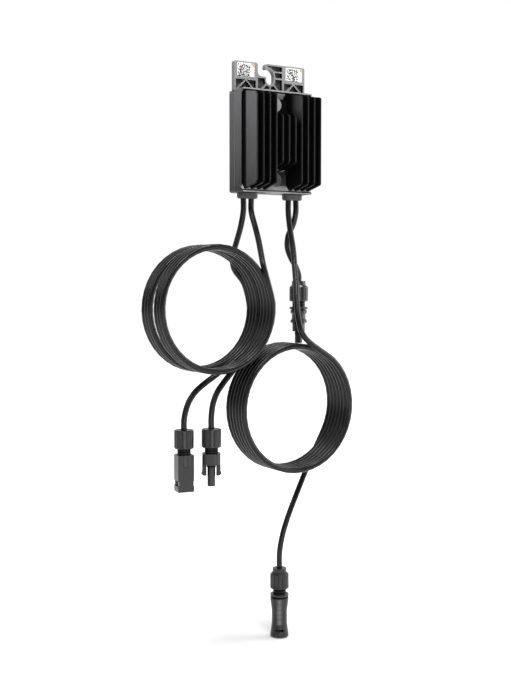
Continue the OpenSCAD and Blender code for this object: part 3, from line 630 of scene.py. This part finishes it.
class NodeTree:
    """A Geometry Nodes tree with named inputs, run on one object to make its mesh."""

    def __init__(self, name: str, inputs: dict[str, tuple[str, object]]) -> None:
        """Starts a tree.

        Args:
            name: the tree's name.
            inputs: input name to its socket type and value.
        """
        self.tree = bpy.data.node_groups.new(name, "GeometryNodeTree")
        face = self.tree.interface
        face.new_socket("Geometry", in_out="INPUT", socket_type="NodeSocketGeometry")
        face.new_socket("Geometry", in_out="OUTPUT", socket_type="NodeSocketGeometry")
        self.ids: dict[str, str] = {}
        self.values: dict[str, object] = {}
        for key, (kind, value) in inputs.items():
            self.ids[key] = face.new_socket(key, in_out="INPUT", socket_type=kind).identifier
            self.values[key] = value
        self.start = self.tree.nodes.new("NodeGroupInput")
        self.end = self.tree.nodes.new("NodeGroupOutput")

    def given(self, name: str) -> Socket:
        """Returns the socket of a named input."""
        return self.start.outputs[name]

    def node(self, kind: str, values: dict | None = None, **attributes: object) -> bpy.types.Node:
        """Adds a node, as add_node does."""
        return add_node(self.tree, kind, values, **attributes)

    def close(self, geometry: Socket, finish: Finish) -> None:
        """Ends the tree in Realize Instances and Set Material.

        Args:
            geometry: what the tree made.
            finish: its finish.
        """
        real = self.node("GeometryNodeRealizeInstances", {"Geometry": geometry})
        dressed = self.node("GeometryNodeSetMaterial", {"Geometry": real.outputs[0],
                                                        "Material": finish.material()})
        self.tree.links.new(dressed.outputs[0], self.end.inputs[0])

    def apply(self, base: bpy.types.Object, finish: Finish) -> None:
        """Runs the tree on an object and keeps the result as its plain mesh, without a modifier.

        Args:
            base: the object that the tree reads and changes.
            finish: the finish that the result carries.
        """
        modifier = base.modifiers.new("build", "NODES")
        modifier.node_group = self.tree
        for key, value in self.values.items():
            modifier[self.ids[key]] = value
        view = bpy.context.evaluated_depsgraph_get()
        made = bpy.data.meshes.new_from_object(base.evaluated_get(view), depsgraph=view)
        base.modifiers.clear()
        base.data = made
        made.materials.clear()
        made.materials.append(finish.material())


def new_object(name: str, points: Sequence[Vector] = (), edges: Sequence[tuple[int, int]] = (),
               faces: Sequence[Sequence[int]] = ()) -> bpy.types.Object:
    """Makes a mesh object at the origin.

    Args:
        name: the piece's name.
        points: its vertices.
        edges: its edges.
        faces: its faces.

    Returns:
        The linked object.
    """
    mesh = bpy.data.meshes.new(name)
    mesh.from_pydata([tuple(p) for p in points], list(edges), [tuple(f) for f in faces])
    mesh.update()
    made = bpy.data.objects.new(name, mesh)
    bpy.context.scene.collection.objects.link(made)
    return made


@dataclass(frozen=True)
class PhotoCamera:
    """The camera at the photograph's viewing angle: its place in millimetres and its turn in degrees."""

    place: Point = (-583.6, -930.9, -194.9)
    turn: Point = (86.494, 0.0, -31.466)
    sensor: float = 24.0
    lens: float = 37.96
    reach: float = 50.0

    def build(self) -> None:
        """Makes the camera and sets it as the scene's."""
        data = bpy.data.cameras.new("photo_camera")
        data.sensor_fit = "VERTICAL"
        data.sensor_height = self.sensor
        data.lens = self.lens
        data.clip_end = self.reach
        camera = bpy.data.objects.new("photo_camera", data)
        camera.location = Vector(self.place) * MM
        camera.rotation_euler = [math.radians(a) for a in self.turn]
        bpy.context.scene.collection.objects.link(camera)
        bpy.context.scene.camera = camera


@dataclass(frozen=True)
class Coil:
    """Turns wound clockwise seen from the front, from one depth to another, in millimetres and degrees."""

    centre: Span
    radius: float
    start_deg: float
    end_deg: float
    turns: int
    depth: Span
    steps: int = 40

    def points(self) -> list[Vector]:
        """Winds the turns.

        Returns:
            Their points in millimetres, in order.
        """
        sweep = self.start_deg - self.end_deg + 360.0 * self.turns
        count = math.ceil(sweep / 360.0 * self.steps)
        made = []
        for i in range(count + 1):
            t = i / count
            angle = math.radians(self.start_deg - sweep * t)
            made.append(Vector((self.centre[0] + self.radius * math.cos(angle),
                                self.depth[0] + (self.depth[1] - self.depth[0]) * t,
                                self.centre[1] + self.radius * math.sin(angle))))
        return made


def smooth(points: Sequence[Vector], parts: int) -> list[Vector]:
    """Runs a centripetal spline through points.

    Args:
        points: the points to pass.
        parts: pieces between two points.

    Returns:
        The finer points, both ends kept.
    """
    padded = [points[0] * 2 - points[1], *points, points[-1] * 2 - points[-2]]
    made = [points[0].copy()]
    for a, b, c, d in zip(padded, padded[1:], padded[2:], padded[3:]):
        t1 = math.sqrt((b - a).length)
        t2 = t1 + math.sqrt((c - b).length)
        t3 = t2 + math.sqrt((d - c).length)
        for i in range(1, parts + 1):
            t = t1 + (t2 - t1) * i / parts
            p = a * ((t1 - t) / t1) + b * (t / t1)
            q = b * ((t2 - t) / (t2 - t1)) + c * ((t - t1) / (t2 - t1))
            r = c * ((t3 - t) / (t3 - t2)) + d * ((t - t2) / (t3 - t2))
            s = p * ((t2 - t) / t2) + q * (t / t2)
            u = q * ((t3 - t) / (t3 - t1)) + r * ((t - t1) / (t3 - t1))
            made.append(s * ((t2 - t) / (t2 - t1)) + u * ((t - t1) / (t2 - t1)))
    return made


@dataclass
class Cable:
    """One cable from boot to connector: route and diameter in millimetres, length in metres."""

    name: str
    lead: list[Point]
    length: float
    nodes: list[str]
    connector: list[str]
    coil: Coil | None = None
    tail: list[Point] = field(default_factory=list)
    diameter: float = 5.8
    sides: int = 16
    parts: int = 4

    def path(self) -> list[Vector]:
        """Joins the lead, the coil's turns and the tail.

        Returns:
            The cable's centre line in metres.
        """
        lead = [Vector(p) for p in self.lead]
        if self.coil is None:
            return [p * MM for p in smooth(lead, self.parts)]
        turns = self.coil.points()
        tail = [Vector(p) for p in self.tail]
        ahead = smooth(lead + turns[:2], self.parts)[:len(lead) * self.parts]
        behind = smooth(turns[-2:] + tail, self.parts)[self.parts:]
        return [p * MM for p in [*ahead, *turns[:-1], *behind]]

    def sweep(self) -> NodeTree:
        """Sets up the sweep of the sheath along the centre line.

        Returns:
            The tree.
        """
        tree = NodeTree("sheath_sweep", {"Radius": ("NodeSocketFloat", self.diameter / 2 * MM),
                                         "Sides": ("NodeSocketInt", self.sides)})
        line = tree.node("GeometryNodeMeshToCurve", {"Mesh": tree.given("Geometry")})
        spline = tree.node("GeometryNodeSplineParameter")
        marked = tree.node("GeometryNodeStoreNamedAttribute",
                           {"Geometry": line.outputs[0], "Name": "along", "Value": spline.outputs["Length"]},
                           data_type="FLOAT", domain="POINT")
        ring = tree.node("GeometryNodeCurvePrimitiveCircle", {"Resolution": tree.given("Sides"),
                                                              "Radius": tree.given("Radius")})
        turn = tree.node("GeometryNodeSplineParameter")
        profile = tree.node("GeometryNodeStoreNamedAttribute",
                            {"Geometry": ring.outputs[0], "Name": "around", "Value": turn.outputs["Factor"]},
                            data_type="FLOAT", domain="POINT")
        tube = tree.node("GeometryNodeCurveToMesh", {"Curve": marked.outputs[0], "Fill Caps": True,
                                                     "Profile Curve": profile.outputs[0]})
        soft = tree.node("GeometryNodeSetShadeSmooth", {"Geometry": tube.outputs[0]})
        tree.close(soft.outputs[0], SHEATH)
        return tree

    def build(self) -> None:
        line = self.path()
        piece = new_object(self.name, line, [(i, i + 1) for i in range(len(line) - 1)])
        self.sweep().apply(piece, SHEATH)
        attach(piece, "root")
        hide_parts(*self.nodes)
        run = sum((b - a).length for a, b in zip(line, line[1:]))
        LOG.info("%s: %.3f m on %d points", self.name, run, len(line))


def connector_nodes(kind: str, *extra: str) -> list[str]:
    """Returns the CAD nodes of one connector.

    Args:
        kind: the connector's name.
        extra: its contact and ring.

    Returns:
        The node names.
    """
    return [f"{kind}_{part}" for part in ("nut", "seal", "body", *extra)]


def cables() -> list[Cable]:
    """Lists the four cables, on the routes of the CAD model.

    Returns:
        The cables, input before output.
    """
    return [
        Cable("input_cable_a",
              [(-31, -5, -118), (-31, -5, -130), (-33, -3, -146), (-37, -1, -162), (-40.5, 0, -175),
               (-38, 1.6, -187), (-26, 2, -202)],
              1.38, ["input_a_lead", "input_a_coil", "input_a_tail"], connector_nodes("input_shell", "pin"),
              Coil((-79, -226), 59, 0, -57, 3, (1.3, -17.3)),
              [(-70, -17.5, -290.4), (-82, -17, -298), (-92, -17, -305.5), (-99, -17, -314.5),
               (-103, -17, -325), (-104.5, -17, -334), (-104.5, -17, -341)]),
        Cable("input_cable_b",
              [(-22, -5, -118), (-22, -5, -130), (-22.5, -13, -145), (-25, -24, -160), (-27.5, -33, -174),
               (-28.5, -39, -185.5)],
              1.36, ["input_b_lead", "input_b_coil", "input_b_tail"],
              connector_nodes("input_probe", "socket", "ring"),
              Coil((-79, -226), 59, 5, -43, 3, (-42.4, -24.1)),
              [(-54.3, -24, -286.2), (-64.5, -24, -297), (-72, -24, -306.5), (-76.5, -24, -317),
               (-78.5, -24, -330), (-78.5, -24, -341)]),
        Cable("output_cable_long",
              [(22, -5, -118), (22, -5, -130), (23.5, -6, -147), (24, -11, -167), (22, -17, -186),
               (18.5, -25, -205), (15.5, -31, -222), (14, -36, -237), (16, -39, -250), (23, -40, -259)],
              2.76, ["output_long_lead", "output_long_coil", "output_long_tail"],
              connector_nodes("output_shell", "pin"),
              Coil((13, -326), 62, 50, -29, 6, (-40.0, -3.6)),
              [(53, -3.5, -381.5), (45, -4, -396), (37, -5.5, -410), (28.5, -7, -425), (20, -8, -442),
               (13.5, -8, -460), (10, -8, -478), (10, -8, -493)]),
        Cable("output_cable_short",
              [(31, -5, -118), (31, -5, -130), (29.5, -2.5, -142), (26, 1, -153), (26, 2.8, -165),
               (30.5, 3, -176), (36.7, 3, -185), (40.2, 3, -194), (40.2, 3, -199.5)],
              0.086, ["output_short_lead"], connector_nodes("output_probe", "socket", "ring")),
    ]


@dataclass
class EarLabel:
    """A sticker's print, in millimetres: a generic code block, a faint line and a coloured corner."""

    node: str
    seed: int
    cells: tuple[int, int] = (21, 19)
    cell: float = 0.65
    filled: float = 0.55
    film: float = 0.04
    margin: float = 0.9
    corner: float = 3.4
    corner_inset: float = 0.35
    line_gap: float = 0.9
    line_t: float = 0.4

    def code_tree(self, centre: Vector) -> NodeTree:
        """Returns the tree that scatters the code's cells on a grid.

        Args:
            centre: middle of the block, on the sticker's face.

        Returns:
            The tree.
        """
        wide, tall = self.cells
        tree = NodeTree("code_block", {"Cell": ("NodeSocketFloat", self.cell * MM),
                                       "Seed": ("NodeSocketInt", self.seed)})
        grid = tree.node("GeometryNodeMeshGrid", {"Size X": (wide - 1) * self.cell * MM,
                                                  "Size Y": (tall - 1) * self.cell * MM,
                                                  "Vertices X": wide, "Vertices Y": tall})
        keep = tree.node("FunctionNodeRandomValue", {"Probability": self.filled, "Seed": tree.given("Seed")},
                         data_type="BOOLEAN")
        size = tree.node("ShaderNodeCombineXYZ", {0: tree.given("Cell"), 1: tree.given("Cell"),
                                                  2: self.film * MM})
        block = tree.node("GeometryNodeMeshCube", {"Size": size.outputs[0]})
        spread = tree.node("GeometryNodeInstanceOnPoints", {"Points": grid.outputs[0],
                                                            "Instance": block.outputs[0],
                                                            "Selection": keep.outputs[RANDOM_BOOLEAN]})
        stood = tree.node("GeometryNodeTransform", {"Geometry": spread.outputs[0],
                                                    "Translation": tuple(centre),
                                                    "Rotation": (math.radians(90), 0.0, 0.0)})
        tree.close(stood.outputs[0], CODE_INK)
        return tree

    def flat(self, name: str, outline: Sequence[Span], y: float, finish: Finish) -> bpy.types.Object:
        """Makes a thin printed patch, one film proud of the sticker and half a film into it.

        Args:
            name: the piece's name.
            outline: its corners as x and z in metres, anticlockwise seen from the front.
            y: the sticker's face.
            finish: its ink.

        Returns:
            The patch.
        """
        n = len(outline)
        points = [Vector((x, y - d * self.film * MM, z)) for d in (1.0, -0.5) for x, z in outline]
        faces = [list(range(n)), list(range(2 * n - 1, n - 1, -1))]
        faces += [[i, i + n, (i + 1) % n + n, (i + 1) % n] for i in range(n)]
        made = new_object(name, points, faces=faces)
        made.data.materials.append(finish.material())
        return made

    def build(self) -> None:
        low, high = (Vector(corner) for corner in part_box(self.node))
        y = low.y
        wide, tall = (c * self.cell * MM for c in self.cells)
        left, top = low.x + self.margin * MM, high.z - self.margin * MM
        centre = Vector((left + wide / 2, y - self.film * MM / 4, top - tall / 2))
        code = new_object(f"{self.node}_code", [centre])
        self.code_tree(centre).apply(code, CODE_INK)
        c, inset = self.corner * MM, self.corner_inset * MM
        right, upper = high.x - inset, high.z - inset
        corner = self.flat(f"{self.node}_corner", [(right - c, upper), (right, upper - c), (right, upper)],
                           y, CORNER_INK)
        line_z, half = top - tall - self.line_gap * MM, self.line_t / 2 * MM
        line = self.flat(f"{self.node}_line", [(left, line_z - half), (left + wide, line_z - half),
                                               (left + wide, line_z + half), (left, line_z + half)],
                         y, GREY_INK)
        for piece in (code, corner, line):
            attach(piece, "root")
        LOG.info("%s: printed", self.node)


def dress(node: str, finish: Finish) -> None:
    """Puts a finish on a CAD node.

    Args:
        node: the node's name.
        finish: its finish.
    """
    piece = frame["nodes"][node]
    piece.data.materials.clear()
    piece.data.materials.append(finish.material())
    LOG.info("%s: %s", node, finish.name)


@dataclass
class Housing:
    """The casing, cover, boots, screws and the parts inside, which keep their CAD shapes."""

    finishes: dict[str, Finish] = field(default_factory=lambda: {
        "rear_cover": COVER, "front_casing": CASING, "perimeter_seal": RUBBER, "input_cable_boot": BOOT,
        "output_cable_boot": BOOT, "cover_screws": STEEL, "board_screws": STEEL, "circuit_board": BOARD,
        "power_inductors": CHIP, "bus_capacitors": CAN, "power_transistors": CHIP, "thermal_pad": GAP_PAD,
        "control_chips": CHIP, "wire_terminals": BRASS, "wire_tails": SHEATH, "label_left": PAPER,
        "label_right": PAPER, "connector_cable_ends": SHEATH})

    def dress(self) -> None:
        """Gives each CAD node its finish."""
        for node, finish in self.finishes.items():
            dress(node, finish)


@dataclass
class Connectors:
    """The four connectors' CAD nodes."""

    kinds: tuple[str, ...] = ("input_shell", "input_probe", "output_probe", "output_shell")
    neck_show: float = 5.7 * MM
    neck_gap: float = 0.1 * MM
    # The connector whose grip carries the painted highlight, and the span below its nut that it covers.
    grip: str = "output_shell"
    grip_span: Span = (36.4 * MM, 9.9 * MM)

    def plastic(self, kind: str) -> Finish:
        """Returns a connector's plastic, with the neck where its nut ends.

        Args:
            kind: the connector's name.

        Returns:
            The finish.
        """
        low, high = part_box(f"{kind}_nut")
        top, axis = float(low[2]), (float(low[0] + high[0]) / 2, float(low[1] + high[1]) / 2)
        strip = tuple(top - drop for drop in self.grip_span) if kind == self.grip else (0.0, 0.0)
        return ConnectorPlastic(f"{kind}_plastic", (0.012, 0.012, 0.0127), (0.016, 0.016, 0.0168),
                                (0.32, 0.38), Surface.FINE_GRAIN, 0.03, edge=0.3 * MM, specular=0.4,
                                axis=axis, strip=strip, neck=(top - self.neck_show, top - self.neck_gap))

    def dress(self) -> None:
        """Gives each connector's pieces their finishes."""
        for kind in self.kinds:
            plastic = self.plastic(kind)
            for part, finish in (("nut", plastic), ("body", plastic), ("seal", RUBBER), ("ring", RUBBER),
                                 ("pin", TINNED), ("socket", TINNED)):
                if f"{kind}_{part}" in frame["nodes"]:
                    dress(f"{kind}_{part}", finish)


@dataclass(frozen=True)
class Lamp:
    """A soft rectangular lamp: its place, aim and size in metres, and its power in watts."""

    name: str
    place: Point
    aim: Point
    size: Span
    power: float

    def build(self) -> None:
        """Makes the lamp and points it at its aim."""
        data = bpy.data.lights.new(self.name, "AREA")
        data.shape = "RECTANGLE"
        data.size, data.size_y = self.size
        data.energy = self.power
        lamp = bpy.data.objects.new(self.name, data)
        lamp.location = self.place
        lamp.rotation_euler = (Vector(self.aim) - Vector(self.place)).to_track_quat("-Z", "Y").to_euler()
        bpy.context.scene.collection.objects.link(lamp)


@dataclass(frozen=True)
class Studio:
    """A white floor, a white world that is brightest behind the object, and five soft lamps, in metres."""

    floor_size: float = 12.0
    floor_tone: Span = (3.0, 2.0)
    floor_low: Colour = (0.65, 0.65, 0.65)
    floor_high: Colour = (0.67, 0.67, 0.67)
    floor_rough: float = 0.9
    foot: Point = (0.01, -0.008, -0.5646)
    fade: Span = (0.05, 0.50)
    floor_glow: Span = (0.22, 1.0)
    behind: Point = (0.52, 0.85, 0.0)
    behind_span: Span = (-0.2, 0.8)
    ahead_light: float = 0.03
    behind_light: float = 0.55
    lamps: tuple[Lamp, ...] = (
        Lamp("key", (-0.35, -1.25, 1.25), (0.0, 0.0, -0.1), (0.6, 0.5), 25.0),
        Lamp("right", (1.35, -0.6, 0.1), (0.0, 0.0, -0.15), (1.0, 1.2), 20.0),
        Lamp("left", (-1.5, -0.2, 0.9), (0.0, 0.0, -0.05), (0.9, 0.9), 13.0),
        Lamp("top", (0.45, -0.2, 1.6), (0.0, 0.0, -0.25), (0.8, 0.25), 24.0),
        Lamp("low", (-0.42, -1.5, -0.40), (0.0, 0.0, -0.45), (0.12, 0.25), 3.2))

    def floor(self) -> None:
        """Makes the floor, which shows white and keeps the object's shadow."""
        s, z = self.floor_size / 2, self.foot[2]
        floor = new_object("floor", [Vector(p) for p in ((-s, -s, z), (s, -s, z), (s, s, z), (-s, s, z))],
                           faces=[(0, 1, 2, 3)])
        graph = Graph("floor_white")
        tone = graph.noise(*self.floor_tone, graph.place())
        away = graph.node("ShaderNodeVectorMath", {0: graph.place(), 1: self.foot}, operation="DISTANCE")
        white = graph.span(away.outputs["Value"], *self.fade, *self.floor_glow)
        rays = graph.node("ShaderNodeLightPath").outputs
        mirrored = graph.calc("MAXIMUM", rays["Is Glossy Ray"], rays["Is Transmission Ray"])
        seen = graph.calc("MAXIMUM", rays["Is Camera Ray"], mirrored)
        graph.set(Base_Color=graph.blend(tone, self.floor_low, self.floor_high), Roughness=self.floor_rough,
                  Emission_Color=WHITE, Emission_Strength=graph.calc("MULTIPLY", seen, white))
        floor.data.materials.append(graph.material)

    def world(self) -> None:
        """Makes a world that shows white and lights the object softly, most from behind."""
        world = bpy.data.worlds.new("studio")
        world.use_nodes = True
        bpy.context.scene.world = world
        tree = world.node_tree
        rays = add_node(tree, "ShaderNodeLightPath").outputs
        way = add_node(tree, "ShaderNodeTexCoord").outputs["Generated"]
        toward = add_node(tree, "ShaderNodeVectorMath", {0: way, 1: self.behind}, operation="DOT_PRODUCT")
        bright = add_node(tree, "ShaderNodeMapRange", {"Value": rays["Is Glossy Ray"],
                                                       "To Min": self.behind_light, "To Max": 1.0})
        soft = add_node(tree, "ShaderNodeMapRange", {"Value": toward.outputs["Value"],
                                                     "From Min": self.behind_span[0],
                                                     "From Max": self.behind_span[1],
                                                     "To Min": self.ahead_light,
                                                     "To Max": bright.outputs["Result"]})
        seen = add_node(tree, "ShaderNodeMath", {0: rays["Is Camera Ray"], 1: rays["Is Transmission Ray"]},
                        operation="MAXIMUM")
        strength = add_node(tree, "ShaderNodeMapRange", {"Value": seen.outputs[0],
                                                         "To Min": soft.outputs["Result"], "To Max": 1.0})
        back = tree.nodes["Background"]
        back.inputs["Color"].default_value = WHITE
        tree.links.new(strength.outputs["Result"], back.inputs["Strength"])

    def build(self) -> None:
        """Makes the floor, the world and the lamps."""
        self.floor()
        self.world()
        for lamp in self.lamps:
            lamp.build()
        bpy.context.scene.view_settings.view_transform = "Standard"


def main() -> None:
    """Builds the scene in order: camera and cables, then the housing, connectors, labels and studio."""
    logging.basicConfig(level=logging.INFO, format="%(message)s")
    PhotoCamera().build()
    for cable in cables():
        cable.build()
    Housing().dress()
    Connectors().dress()
    for label in (EarLabel("label_left", 11), EarLabel("label_right", 29)):
        label.build()
    Studio().build()


if __name__ == "__main__":
    main()
